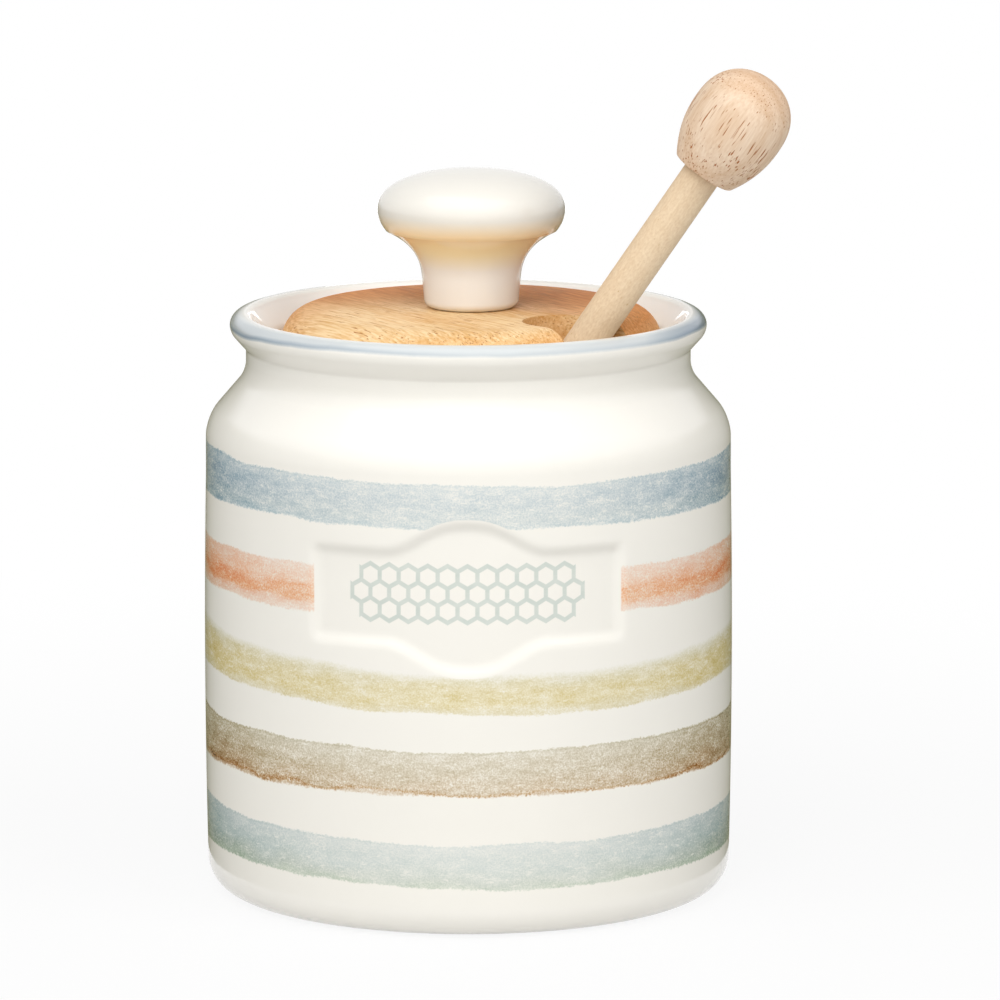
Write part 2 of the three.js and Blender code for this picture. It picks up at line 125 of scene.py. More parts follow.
# %% [markdown]
# ## The lathe
# A turned piece could be stacked up from cylinders, or made by a Screw modifier. Here the
# outline is drawn as a turner draws it on paper: one vertex is extruded from corner to corner in
# the XZ plane. A vertex bevel rounds the corners that have a round, each by its own width through
# its bevel weight. Then the spin operator turns the outline round the Z axis.
# Where the ends of the outline meet the axis, merging by distance closes the pole.

# %% Draw an outline
def reaches(corners):
    """How far each corner's round reaches along its sides; neighbours share a short side."""
    spots = [Vector(corner[:2]) for corner in corners]
    rounds = [corner[2] if len(corner) > 2 else 0 for corner in corners]
    wanted = [0.0] * len(corners)
    for i, radius in enumerate(rounds):
        if radius:
            before, after = spots[i - 1] - spots[i], spots[i + 1] - spots[i]
            wanted[i] = radius / math.tan(before.angle(after) / 2)
    found = list(wanted)
    for i, reach in enumerate(wanted):
        if reach:
            for k in (i - 1, i + 1):
                side = (spots[k] - spots[i]).length
                found[i] = min(found[i], side * reach / (reach + wanted[k]))
    return found


def draw_outline(name, corners, segments=8):
    """Extrude a vertex along corners (radius, height, round) in millimetres, and round them."""
    deselect()
    bpy.ops.mesh.primitive_plane_add(size=MM)
    piece = bpy.context.object
    piece.name = piece.data.name = name
    bpy.ops.object.mode_set(mode="EDIT")
    bpy.ops.mesh.select_all(action="SELECT")
    bpy.ops.mesh.merge(type="CENTER")
    last = Vector((0, 0))
    for i, corner in enumerate(corners):
        spot = Vector(corner[:2])
        step = Vector((spot.x - last.x, 0, spot.y - last.y)) * MM
        if i:
            bpy.ops.mesh.extrude_vertices_move(TRANSFORM_OT_translate={"value": step})
        else:
            bpy.ops.transform.translate(value=step)
        last = spot
    bpy.ops.object.mode_set(mode="OBJECT")
    found = reaches(corners)
    widest = max(found)
    if widest:
        weights = piece.data.attributes.new("bevel_weight_vert", "FLOAT", "POINT")
        for vertex in piece.data.vertices:
            spot = Vector((vertex.co.x, vertex.co.z)) / MM
            nearest = min(range(len(corners)), key=lambda k: (Vector(corners[k][:2]) - spot).length)
            weights.data[vertex.index].value = found[nearest] / widest
        apply_modifier(piece, "BEVEL", affect="VERTICES", limit_method="WEIGHT",
                       width=widest * MM, segments=segments, use_clamp_overlap=False)
        piece.data.attributes.remove(piece.data.attributes["bevel_weight_vert"])
    return piece


# %% Spin the outline
WELD = 0.001  # vertices closer than this are one


def spin(piece, spans):
    """Turn an outline round the Z axis in one or more spans of (degrees, steps), and close it."""
    only(piece)
    bpy.ops.object.mode_set(mode="EDIT")
    bpy.ops.mesh.select_all(action="SELECT")
    for degrees, steps in spans:
        bpy.ops.mesh.spin(
            steps=steps, angle=math.radians(degrees), center=(0, 0, 0), axis=(0, 0, 1))
    bpy.ops.mesh.select_all(action="SELECT")
    bpy.ops.mesh.remove_doubles(threshold=WELD * MM)
    bpy.ops.mesh.normals_make_consistent(inside=False)
    bpy.ops.object.mode_set(mode="OBJECT")
    bpy.ops.object.shade_smooth()
    print(piece.name, "has", len(piece.data.polygons), "faces")
    return piece


def squared_quarter(power, steps):
    """A quarter circle from (0, 1) to (1, 0), fuller than a circle where the power is over 2."""
    angles = [math.pi / 2 * (1 - i / steps) for i in range(steps + 1)]
    return [(abs(math.cos(a)) ** (2 / power), math.sin(a) ** (2 / power)) for a in angles]


# %% [markdown]
# ## The pot
# The body was thrown, or jiggered over a mould, in one piece. Its outline starts at the middle of
# the underside, goes out and round the foot, up the slightly swelling wall, over the shoulder,
# in to the neck, out over the rolled lip, down the mouth to the ledge that carries the lid, and
# down the inside. The front, where the sunk label will be, gets finer steps than the back.

# %% Outline of the pot
POT_RADIUS = 50.4
WALL_END_RADIUS = 50.0
FOOT_INSET, FOOT_RISE, FOOT_POWER = 7.4, 7.1, 2.3
BELLY_TOP = 82.4
MOUTH_RADIUS, NECK_RADIUS, INNER_RADIUS = 38.1, 42.3, 45.4
LIP_RADIUS, LIP_TOP_RADIUS, LIP_TOP_WIDTH = 45.5, 45.0, 3.2
SHOULDER_HEIGHT, NECK_START, CREASE_HEIGHT = 90.9, 99.9, 104.5
LIP_WIDEST_HEIGHT, RIM_HEIGHT, SEAT_HEIGHT = 108.1, 111.3, 102.2
MOUTH_FLARE, FLARE_RISE = 0.6, 4.2  # the mouth is this much wider, this far above the ledge
LEDGE_RADIUS, LEDGE_THICKNESS, POT_FLOOR = 34.1, 3.4, 6
LABEL_ROWS_FROM, LABEL_ROWS_TO, LABEL_ROW = 47.0, 82.0, 0.6


def belly(height):
    """Radius of the outer wall, a shallow parabola."""
    along = 2 * (height - FOOT_RISE) / (BELLY_TOP - FOOT_RISE) - 1
    return POT_RADIUS - (POT_RADIUS - WALL_END_RADIUS) * along * along


foot = [
    (WALL_END_RADIUS - FOOT_INSET * (1 - x), FOOT_RISE * (1 - y))
    for x, y in squared_quarter(FOOT_POWER, 14)
]
fine_rows = round((LABEL_ROWS_TO - LABEL_ROWS_FROM) / LABEL_ROW)
heights = [11, 17, 23, 29, 35, 41] + [LABEL_ROWS_FROM + i * LABEL_ROW for i in range(fine_rows)]
wall = [(belly(height), height) for height in heights]
shoulder_and_lip = [
    (WALL_END_RADIUS, SHOULDER_HEIGHT, 8.5),
    (NECK_RADIUS, NECK_START, 5.8),
    (NECK_RADIUS, CREASE_HEIGHT, 1),
    (LIP_RADIUS, LIP_WIDEST_HEIGHT, 2.6),
    (LIP_TOP_RADIUS, RIM_HEIGHT, 2.4),
    (LIP_TOP_RADIUS - LIP_TOP_WIDTH, RIM_HEIGHT, 1.5),
]
mouth_and_inside = [
    (MOUTH_RADIUS + MOUTH_FLARE, SEAT_HEIGHT + FLARE_RISE, 3),
    (MOUTH_RADIUS, SEAT_HEIGHT, 0.8),
    (LEDGE_RADIUS, SEAT_HEIGHT, 0.8),
    (LEDGE_RADIUS, SEAT_HEIGHT - LEDGE_THICKNESS, 0.8),
    (INNER_RADIUS, SHOULDER_HEIGHT - LEDGE_THICKNESS, 6),
    (INNER_RADIUS, POT_FLOOR, 8),
    (0, POT_FLOOR),
]
pot_outline = [(0, 0)] + foot + wall + shoulder_and_lip + mouth_and_inside
pot = draw_outline("pot", pot_outline)
spin(pot, [(52, 34), (76, 126), (232, 150)])

# %% [markdown]
# The label was pressed into the soft clay: a flat rectangle whose long sides each swell into a
# bell, with slopes rather than sharp steps, because the glaze fills the corners. It could be cut
# with a Boolean, but that leaves hard edges. A Displace modifier does it softly: a vertex group
# holds how deep each vertex lies inside the label's edge, from 0 outside to 1 on its floor, and
# the modifier moves the wall in by 1 mm along its normals where the group is 1.

# %% Press the label
LABEL_MIDDLE, LABEL_DEPTH, LABEL_SLOPE = 64.8, 1.0, 2.6
LABEL_HALF_WIDTH, LABEL_HALF_HEIGHT = 28.5, 8.45
LABEL_BELL, LABEL_BELL_HALF_WIDTH, LABEL_BELL_POWER = 5.2, 15.5, 1.24


def label_half_height(x):
    """Half the label's height at a place across it, in millimetres."""
    share = min(1, abs(x) / LABEL_BELL_HALF_WIDTH) ** LABEL_BELL_POWER
    return LABEL_HALF_HEIGHT + LABEL_BELL * (1 + math.cos(math.pi * share)) / 2


def smooth_step(value):
    """From 0 to 1, level at both ends."""
    value = min(1, max(0, value))
    return value * value * (3 - 2 * value)


def label_depth(place):
    """How deep the label is pressed at a place on the wall, from 0 to 1."""
    if place.y > 0 or math.hypot(place.x, place.y) < INNER_RADIUS + 1:
        return 0
    step = 0.5
    rise = (label_half_height(place.x + step) - label_half_height(place.x - step)) / (2 * step)
    inside = (label_half_height(place.x) - abs(place.z - LABEL_MIDDLE)) / math.hypot(1, rise)
    from_end = LABEL_HALF_WIDTH - abs(place.x)
    return smooth_step(inside / LABEL_SLOPE + 0.5) * smooth_step(from_end / LABEL_SLOPE + 0.5)


pressed = pot.vertex_groups.new(name="label")
for vertex in pot.data.vertices:
    depth = label_depth(vertex.co / MM)
    if depth > 0:
        pressed.add([vertex.index], depth, "REPLACE")
apply_modifier(pot, "DISPLACE", vertex_group="label", strength=-LABEL_DEPTH * MM, mid_level=0)
pot.vertex_groups.clear()
print("the pot is", [round(v * 1000, 1) for v in pot.dimensions], "mm")

# %% [markdown]
# ## The lid
# The lid is a beech disc with a big round on its upper edge, a hole for the knob's screw and a
# counterbore under it. Its outline is a closed loop, so the spin makes a ring. The notch for the
# dipper was cut after the turning, and so it is here: a Boolean takes a slot out of the finished
# disc, and a small bevel breaks the new edges as sandpaper would. The slot starts as a cylinder,
# and half of its vertices are moved out past the edge of the lid.

# %% Turn the lid and cut its notch
LID_RADIUS, LID_THICKNESS, LID_ASIDE = 36.1, 10, 0.6
LID_PLACE, LID_TOP = Vector((LID_ASIDE, 0, SEAT_HEIGHT)) * MM, SEAT_HEIGHT + LID_THICKNESS
LEAN_RIGHT, LEAN_FRONT = math.tan(math.radians(33.9)), math.tan(math.radians(6))
NOTCH_TURN = math.radians(-46.6)
NOTCH_DEPTH, NOTCH_PLAY = 10.7, 1.5
NOTCH_END_RADIUS = LID_RADIUS - NOTCH_DEPTH
SHAFT_RADIUS, SHAFT_GAP = 3.65, 0.35
SCREW_HOLE, COUNTERBORE_RADIUS, COUNTERBORE_DEPTH = 2.3, 5.1, 3.8
EDGE_BREAK = 0.3


def smooth_by_angle(piece, degrees):
    """Shade a piece smooth, and keep its sharper edges."""
    only(piece)
    bpy.ops.object.shade_smooth_by_angle(angle=math.radians(degrees))


def move_to(piece, place, turn=Quaternion()):
    """Turn and place a finished piece, and leave that place in its mesh."""
    only(piece)
    piece.rotation_mode = "QUATERNION"
    piece.rotation_quaternion = turn
    piece.location = place
    bpy.ops.object.transform_apply(location=True, rotation=True, scale=True)


lid = draw_outline("lid", [
    (SCREW_HOLE, COUNTERBORE_DEPTH), (COUNTERBORE_RADIUS, COUNTERBORE_DEPTH),
    (COUNTERBORE_RADIUS, 0), (LID_RADIUS, 0, 0.8), (LID_RADIUS, LID_THICKNESS, 6.2),
    (SCREW_HOLE, LID_THICKNESS), (SCREW_HOLE, COUNTERBORE_DEPTH),
], segments=12)
spin(lid, [(360, 192)])

across = Vector((-math.sin(NOTCH_TURN), math.cos(NOTCH_TURN)))
drift = abs(across.x * LEAN_RIGHT - across.y * LEAN_FRONT)
half_width = (SHAFT_RADIUS * math.hypot(1, drift) + drift * LID_THICKNESS / 2
              + SHAFT_GAP + NOTCH_PLAY)
deselect()
bpy.ops.mesh.primitive_cylinder_add(
    vertices=96, radius=half_width * MM, depth=3 * LID_THICKNESS * MM,
    location=(NOTCH_END_RADIUS * MM, 0, 0),
)
slot = bpy.context.object
bpy.ops.object.transform_apply(location=True)
pick_vertices(slot, lambda place: place.x > NOTCH_END_RADIUS + 0.01)
bpy.ops.transform.translate(value=(2 * half_width * MM, 0, 0))
bpy.ops.object.mode_set(mode="OBJECT")
move_to(slot, Vector((0, 0, LID_THICKNESS / 2 * MM)), Quaternion((0, 0, 1), NOTCH_TURN))
apply_modifier(lid, "BOOLEAN", object=slot, operation="DIFFERENCE", solver="EXACT")
bpy.data.objects.remove(slot)
apply_modifier(lid, "BEVEL", width=EDGE_BREAK * MM, segments=3, limit_method="ANGLE",
               angle_limit=math.radians(40), use_clamp_overlap=True)
smooth_by_angle(lid, 30)
move_to(lid, LID_PLACE)
print("the notch is", round(2 * half_width, 1), "mm wide")

# %% [markdown]
# ## The knob of the lid
# The knob is slip-cast and glazed like the pot: a short stem that sweeps out into a mushroom cap.
# The sweep is a Bezier curve, as a potter's rib would cut it, and the crown is a squared ellipse,
# fuller at its edge than a plain one. A hollow in its foot takes the brass insert.

# %% Turn the knob
KNOB_RADIUS, KNOB_CROWN, KNOB_WIDEST_HEIGHT = 17.85, 7.4, 18.9
ROLL_RISE, ROLL_ANGLE = 10, math.radians(24)
STEM_TOP = Vector((9.4, 6))
KNOB_HOLE, KNOB_HOLE_DEPTH, KNOB_FOOT = 4.55, 13.3, 8.9

roll = [
    (KNOB_RADIUS * math.cos(a), KNOB_WIDEST_HEIGHT + ROLL_RISE * math.sin(a))
    for a in (-ROLL_ANGLE * (1 - i / 6) for i in range(6))
]
side = Vector(roll[0]) - STEM_TOP
sweep = interpolate_bezier(
    STEM_TOP, STEM_TOP + Vector((side.x * 0.05, side.y * 0.5)),
    STEM_TOP + Vector((side.x * 0.42, side.y * 0.78)), Vector(roll[0]), 24,
)
crown = [
    (KNOB_RADIUS * x, KNOB_WIDEST_HEIGHT + KNOB_CROWN * y) for x, y in squared_quarter(2.2, 24)
]
knob = draw_outline("knob", [
    (0, KNOB_HOLE_DEPTH), (KNOB_HOLE, KNOB_HOLE_DEPTH), (KNOB_HOLE, 0), (KNOB_FOOT, 0, 1.7),
    *[tuple(point) for point in sweep[:-1]], *roll, *reversed(crown),
])
spin(knob, [(360, 128)])
move_to(knob, LID_PLACE + Vector((0, 0, LID_THICKNESS * MM)))

# %% [markdown]
# ## The fixing under the lid
# A ceramic knob can't hold a thread, so a brass insert is cemented into it, and a pan-head screw
# with a washer comes up from under the lid. They show when the lid is lifted. The insert is
# turned with four ridges, and the screw gets its cross recess from a Boolean with two crossed
# blocks. Its thread is left out, because it never comes out of the insert.

# %% Insert, washer and screw
INSERT_LENGTH, INSERT_RIDGES, RIDGE = 13, 4, 1.2
INSERT_BORE, INSERT_GROOVE, INSERT_RADIUS = 2.15, 3.65, 4.25


def fit_to_lid(piece, height):
    """Shade a turned fitting and put it on the lid's axis, this far above its underside."""
    smooth_by_angle(piece, 30)
    move_to(piece, LID_PLACE + Vector((0, 0, height * MM)))


pitch = (INSERT_LENGTH - RIDGE) / (INSERT_RIDGES - 1)
insert_outline = [(INSERT_BORE, 0)]
for i in range(INSERT_RIDGES):
    low = i * pitch
    insert_outline += [(INSERT_RADIUS, low, 0.2), (INSERT_RADIUS, low + RIDGE, 0.2)]
    if i < INSERT_RIDGES - 1:
        insert_outline += [(INSERT_GROOVE, low + RIDGE), (INSERT_GROOVE, low + pitch)]
insert_outline += [(INSERT_BORE, INSERT_LENGTH), (INSERT_BORE, 0)]
insert = spin(draw_outline("thread_insert", insert_outline, segments=3), [(360, 48)])
fit_to_lid(insert, LID_THICKNESS)

WASHER_RADIUS, WASHER_THICKNESS, WASHER_HEIGHT = 4.6, 0.8, 3
washer = spin(draw_outline("washer", [
    (SCREW_HOLE, 0), (WASHER_RADIUS, 0, 0.15), (WASHER_RADIUS, WASHER_THICKNESS, 0.15),
    (SCREW_HOLE, WASHER_THICKNESS), (SCREW_HOLE, 0),
], segments=3), [(360, 64)])
fit_to_lid(washer, WASHER_HEIGHT)

SCREW_RADIUS, SCREW_TIP_RADIUS, SCREW_TIP = 2, 1.2, 0.8
SCREW_HEAD_RADIUS, SCREW_HEAD = 3.7, 2.4
SCREW_LENGTH = LID_THICKNESS - WASHER_HEIGHT + INSERT_LENGTH - 1
RECESS_ARM = (4.4, 0.9, 2.6)  # length, width and twice the depth
screw = spin(draw_outline("knob_fixing_screw", [
    (0, -SCREW_HEAD), (SCREW_HEAD_RADIUS, -SCREW_HEAD, 1.2), (SCREW_HEAD_RADIUS, 0, 0.1),
    (SCREW_RADIUS, 0), (SCREW_RADIUS, SCREW_LENGTH - SCREW_TIP),
    (SCREW_TIP_RADIUS, SCREW_LENGTH), (0, SCREW_LENGTH),
], segments=6), [(360, 48)])
for turn in (0, math.pi / 2):
    deselect()
    bpy.ops.mesh.primitive_cube_add(
        size=1, location=(0, 0, -SCREW_HEAD * MM), rotation=(0, 0, turn))
    arm = bpy.context.object
    arm.scale = [side * MM for side in RECESS_ARM]
    bpy.ops.object.transform_apply(location=True, rotation=True, scale=True)
    apply_modifier(screw, "BOOLEAN", object=arm, operation="DIFFERENCE", solver="EXACT")
    bpy.data.objects.remove(arm)
fit_to_lid(screw, WASHER_HEIGHT)

# %% [markdown]
# ## The dipper
# Three turned pieces: a birch dowel, a rubberwood knob on its upper end and a grooved beech head
# on its lower end, whose rings hold the honey. They are turned upright, with the tip of the head
# at the origin, and then stood up together. The lean comes from the frame: the joint that lifts
# the dipper slides along its axis, and the CAD shaft's middle gives its place.

# %% Turn the dipper
DIPPER_LENGTH, GRIP_LENGTH = 171, 21.4
GRIP_BASE = DIPPER_LENGTH - GRIP_LENGTH
GRIP_RADIUS, GRIP_FOOT_RADIUS, GRIP_WIDEST = 9.35, 6.1, 11
GRIP_LOWER_POWER, GRIP_DOME_POWER = 2.1, 2.5
GRIP_SOCKET, HEAD_SOCKET, SOCKET_RADIUS, SOCKET_GAP = 11, 20, 3.95, 0.3
HEAD_RADIUS, HEAD_TAPER, HEAD_CORE = 8.6, 1.5, 5.6
HEAD_TIP, RIDGE_WIDTH, GROOVE_WIDTH, RIDGES = 2.6, 2.9, 1.9, 7
HEAD_LENGTH = HEAD_TIP + RIDGES * RIDGE_WIDTH + (RIDGES - 1) * GROOVE_WIDTH
SHAFT_BOTTOM = HEAD_LENGTH - HEAD_SOCKET + SOCKET_GAP
SHAFT_TOP = GRIP_BASE + GRIP_SOCKET - SOCKET_GAP


def grip_radius(height):
    """The grip swells from its foot to its widest ring, and closes over in a blunt dome."""
    if height < GRIP_WIDEST:
        below = (1 - height / GRIP_WIDEST) ** GRIP_LOWER_POWER
        return GRIP_RADIUS - (GRIP_RADIUS - GRIP_FOOT_RADIUS) * below
    up = (height - GRIP_WIDEST) / (GRIP_LENGTH - GRIP_WIDEST)
    return GRIP_RADIUS * math.sqrt(max(0, 1 - up ** GRIP_DOME_POWER))


def head_ridge(index):
    """Radius of a ring of the head: the middle ones are the widest."""
    return HEAD_RADIUS - HEAD_TAPER * (2 * index / (RIDGES - 1) - 1) ** 2


shaft = draw_outline("dipper_dowel", [
    (0, SHAFT_BOTTOM), (SHAFT_RADIUS, SHAFT_BOTTOM, 0.3),
    (SHAFT_RADIUS, SHAFT_TOP, 0.3), (0, SHAFT_TOP),
], segments=3)
spin(shaft, [(360, 96)])

grip_heights = [GRIP_LENGTH * math.sin(math.pi / 2 * i / 48) for i in range(1, 49)]
grip = draw_outline("dipper_knob", [
    (0, GRIP_BASE + GRIP_SOCKET), (SOCKET_RADIUS, GRIP_BASE + GRIP_SOCKET),
    (SOCKET_RADIUS, GRIP_BASE), (GRIP_FOOT_RADIUS, GRIP_BASE, 0.35),
    *[(grip_radius(height), GRIP_BASE + height) for height in grip_heights],
])
spin(grip, [(360, 96)])

head_outline = [(0, 0), (head_ridge(0) - HEAD_TIP, 0, HEAD_TIP / 2)]
for i in range(RIDGES):
    low = HEAD_TIP + i * (RIDGE_WIDTH + GROOVE_WIDTH)
    if i:
        head_outline.append((HEAD_CORE, low, 0.4))
    head_outline += [(head_ridge(i), low, 0.6), (head_ridge(i), low + RIDGE_WIDTH, 0.6)]
    if i < RIDGES - 1:
        head_outline.append((HEAD_CORE, low + RIDGE_WIDTH, 0.4))
head_outline += [(SOCKET_RADIUS, HEAD_LENGTH), (SOCKET_RADIUS, SHAFT_BOTTOM - SOCKET_GAP),
                 (0, SHAFT_BOTTOM - SOCKET_GAP)]
head = spin(draw_outline("dipper_head_rings", head_outline, segments=4), [(360, 96)])

# %% Stand the dipper in the pot
lift = next(joint for joint in frame["joints"] if joint["child"] == "dipper")
dipper_axis = Vector(lift["axis"]).normalized()
dipper_turn = UP.rotation_difference(dipper_axis)
low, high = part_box("dipper_shaft")
dipper_foot = (low + high) / 2 - dipper_axis * (SHAFT_BOTTOM + SHAFT_TOP) / 2 * MM
for piece in (shaft, grip, head):
    smooth_by_angle(piece, 35)
    move_to(piece, dipper_foot, dipper_turn)
print("the dipper leans", round(math.degrees(dipper_axis.angle(UP)), 1), "degrees")

# %% [markdown]
# ## What each piece rides on and stands for
# The pot is the fixed body. The knob and its fixing ride with the lid, and all three pieces of
# the dipper ride together.

# %% Ride and replace
for piece, body, node, finish in (
    (pot, "pot", "pot_body", "pot_glaze"),
    (lid, "lid", "lid_disc", "lid_beech"),
    (knob, "lid", "lid_knob", "knob_glaze"),
    (insert, "lid", "knob_insert", "insert_brass"),
    (washer, "lid", "screw_washer", "screw_steel"),
    (screw, "lid", "knob_screw", "screw_steel"),
    (shaft, "dipper", "dipper_shaft", "shaft_birch"),
    (grip, "dipper", "dipper_grip", "grip_rubberwood"),
    (head, "dipper", "dipper_head", "head_beech"),
):
    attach(piece, body)
    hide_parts(node)

# %% [markdown]
# ## Materials
# Two helpers serve every finish. One turns an sRGB hex colour, as it is given, into the
# linear values that the shader works with. The other adds a node, sets it up and links it.
# Patterns read Object coordinates. Those are in metres, so each material first scales them to
# millimetres, and then every pattern's size can be read in millimetres.

# %% Colour and node helpers
def linear(hex_colour):
    """sRGB hex to linear RGBA."""
    shares = [int(hex_colour[i:i + 2], 16) / 255 for i in (0, 2, 4)]
    return tuple(s / 12.92 if s <= 0.04045 else ((s + 0.055) / 1.055) ** 2.4 for s in shares) + (1,)


def add(tree, kind, inputs=None, stops=None, **settings):
    """Add a node: its settings, its inputs by name or number, a ramp's stops.

    The kind of a math node has its operation after it. An input is a value, a socket or a node,
    which stands for the first output that it uses."""
    kind, _, operation = kind.partition(" ")
    made = tree.nodes.new("ShaderNode" + kind)
    if operation:
        made.operation = operation
    for name, value in settings.items():
        setattr(made, name, value)
    for name, value in (inputs or {}).items():
        if isinstance(value, bpy.types.Node):
            value = next(socket for socket in value.outputs if socket.enabled)
        if isinstance(value, bpy.types.NodeSocket):
            tree.links.new(value, made.inputs[name])
        else:
            made.inputs[name].default_value = value
    if stops:
        ramp = made.color_ramp
        while len(ramp.elements) < len(stops):
            ramp.elements.new(1)
        for element, (position, colour) in zip(ramp.elements, stops):
            element.position = position
            element.color = linear(colour)
    return made


def new_material(name, *pieces):
    """Give pieces an empty material; returns its tree and the place on a piece in millimetres."""
    material = bpy.data.materials.new(name)
    for piece in pieces:
        piece.data.materials.append(material)
    material.use_nodes = True
    tree = material.node_tree
    tree.nodes.clear()
    place = add(tree, "TexCoord").outputs["Object"]
    place = add(tree, "VectorMath SCALE", {0: place, "Scale": 1 / MM})
    return tree, place


# %% [markdown]
# ### Earthenware under a clear glaze
# The pot is cream earthenware, decorated with five sponged bands under a clear, hard glaze. The
# glaze is glass: an IOR of about 1.5 and a very low roughness, with only a trace of waviness.
# The knob has the same glaze and no bands.

# %% Clear glaze
POT_BODY, KNOB_BODY = "F3F0E8", "EBE7DE"
GLAZE_ROUGHNESS = 0.07


def clear_glaze(piece, name, body):
    """Glaze a piece over earthenware of one colour; returns its tree, shader and place."""
    tree, place = new_material(name, piece)
    # the glaze flows as it melts: its surface waves by hundredths of a millimetre over 9 mm
    waves = add(tree, "TexNoise", {"Vector": place, "Scale": 1 / 9, "Detail": 1.0})
    bump = add(tree, "Bump", {"Height": waves, "Strength": 0.25, "Distance": 0.12 * MM})
    shader = add(tree, "BsdfPrincipled", {
        "Base Color": linear(body), "Roughness": GLAZE_ROUGHNESS, "IOR": 1.5, "Normal": bump})
    add(tree, "OutputMaterial", {"Surface": shader})
    return tree, shader, place


tree, shader, place = clear_glaze(knob, "earthenware_clear_glaze", KNOB_BODY)
# painted light: a whiter stem, a golden hollow under the cap as bounce from the lid, a cream top
height = add(tree, "SeparateXYZ", {0: place}).outputs["Z"]
rise = add(tree, "MapRange", {"Value": height, "From Min": LID_TOP,
                              "From Max": LID_TOP + KNOB_WIDEST_HEIGHT})
painted_light = add(tree, "ValToRGB", {0: rise}, stops=[
    (0.42, "F5F4F2"), (0.6, "FFF6D6"), (0.7, "FFF3CE"), (0.82, "FFE9C2"), (0.98, KNOB_BODY)])
tree.links.new(painted_light.outputs[0], shader.inputs["Base Color"])

tree, shader, place = clear_glaze(pot, "earthenware_banded_clear_glaze", POT_BODY)

# %% [markdown]
# Underglaze colour is thin and lets light through, so it isn't mixed over the body: it works as a
# filter on it. The colours below are what one coat lets through of white light. Two coats let
# through the square of that, so the number of coats is simply the exponent of a Gamma node, and
# where that number falls to nothing the body is bare. The edges, the pores of the sponge, its
# strokes and the painted shade on the pot's two sides, laid on as more coats, all act on it.
#
# Each edge of a band is a slightly tilted plane, because no painter holds a band dead level.

# %% Bands of the pot
# lower, upper: the edges as height, rise towards the front and rise to the right, in millimetres
# fade: softness of the upper edge; side_shade_coats: painted shade, the coats at the sides (one in
# front)
# pores, strokes: how much the coat varies with them; pool: how much more lies on the upper edge
# colours: what one coat lets through, from the lower to the upper edge
BANDS = {
    "blue_grey": dict(
        lower=(77.65, 0.3, -0.24), upper=(87.55, -1.45, -0.45), fade=0.25, side_shade_coats=2.85,
        pores=2.2, strokes=1.9, pool=0.4,
        colours=[(0.0, "DEE8EE"), (0.2, "E2EAEF"), (0.6, "DEE7EE"), (1.0, "E8EFF4")],
    ),
    "coral": dict(
        lower=(60.9, 0.1, -0.15), upper=(70.1, -0.7, -0.2), fade=0.25, side_shade_coats=2.6,
        pores=2.2, strokes=1.6, pool=0.0,
        colours=[(0.0, "FBEFE8"), (0.15, "FBEAE1"), (0.28, "F9DAC4"), (0.45, "F9D8C2"),
                 (0.62, "FBE6D9"), (1.0, "FCF0EA")],
    ),
    "olive_yellow": dict(
        lower=(45.1, -2.2, -0.55), upper=(54.7, -3.98, -0.78), fade=1.4, side_shade_coats=1.5,
        pores=2.0, strokes=2.2, pool=0.0,
        colours=[(0.0, "EFEAD6"), (0.25, "EEE5C3"), (0.6, "EDE5C6"), (1.0, "EFEEE3")],
    ),
    "taupe": dict(
        lower=(27.45, 0.05, 0.03), upper=(37.3, -1.25, -0.05), fade=0.25, side_shade_coats=2.45,
        pores=2.8, strokes=1.8, pool=0.8,
        colours=[(0.0, "EADFD2"), (0.06, "D4B896"), (0.12, "E1D3C0"), (0.5, "E2DACB"),
                 (1.0, "EAE7DE")],
    ),
    "pale_green": dict(
        lower=(10.75, -0.8, -0.25), upper=(20.06, -1.86, -0.26), fade=0.25, side_shade_coats=2.6,
        pores=1.6, strokes=1.2, pool=0.3,
        colours=[(0.0, "DBE4DD"), (0.18, "DFE6E4"), (0.5, "E2EAEC"), (1.0, "E9EFF2")],
    ),
}
# painted shade: from one coat where |Y| is 50 mm to side_shade_coats, and a little beyond, at 14.7
# mm
SIDE_FROM, SIDE_TO, SIDE_MOST, SIDE_POWER = 50.0, 14.7, 1.2, 1.3

# %% Where a place is on the pot
x, y, z = add(tree, "SeparateXYZ", {0: place}).outputs
facing = add(tree, "Math ABSOLUTE", {0: y})
# painted shade: 0 in front, growing towards the pot's left and right outline
painted_side_shade = add(tree, "MapRange", {"Value": facing, "From Min": SIDE_FROM, "From Max": SIDE_TO,
                               "To Max": SIDE_MOST})
painted_side_shade = add(tree, "Math POWER", {0: painted_side_shade, 1: SIDE_POWER})
ahead = add(tree, "Math MULTIPLY", {0: y, 1: -1.0})
front = add(tree, "Math MAXIMUM", {0: ahead, 1: 0.0})
out = add(tree, "VectorMath MULTIPLY", {0: place, 1: (1, 1, 0)})
out = add(tree, "VectorMath LENGTH", {0: out})
# the place with its share of the front and of the right from 0 to 1, for the tilted edges
sides = add(tree, "CombineXYZ", {0: x, 1: front, 2: z})
sides = add(tree, "VectorMath MULTIPLY", {0: sides, 1: (1 / POT_RADIUS, 1 / POT_RADIUS, 1)})

# %% Pores, strokes and wandering edges
# the bands were drawn round, so strokes are three times as wide as they are high
drawn = add(tree, "VectorMath MULTIPLY", {0: place, 1: (0.4, 0.4, 1.2)})
strokes, clouds, flecks, pores, wave, teeth = (
    add(tree, "TexNoise", {"Vector": spot, "Scale": 1 / size, "Detail": detail, "Roughness": grit})
    for spot, size, detail, grit in (
        (drawn, 1.8, 3.0, 0.6), (drawn, 4, 1.0, 0.5), (drawn, 0.55, 1.0, 0.6),
        (place, 0.3, 1.0, 0.5), (place, 18, 2.0, 0.5), (place, 0.5, 1.0, 0.5)))
# where the sponge missed, flecks of the white body show, 1.4 mm wide and 0.5 mm high
cover = add(tree, "MapRange", {"Value": flecks, "From Min": 0.58, "From Max": 0.74,
                               "To Min": 1.0, "To Max": 0.45})
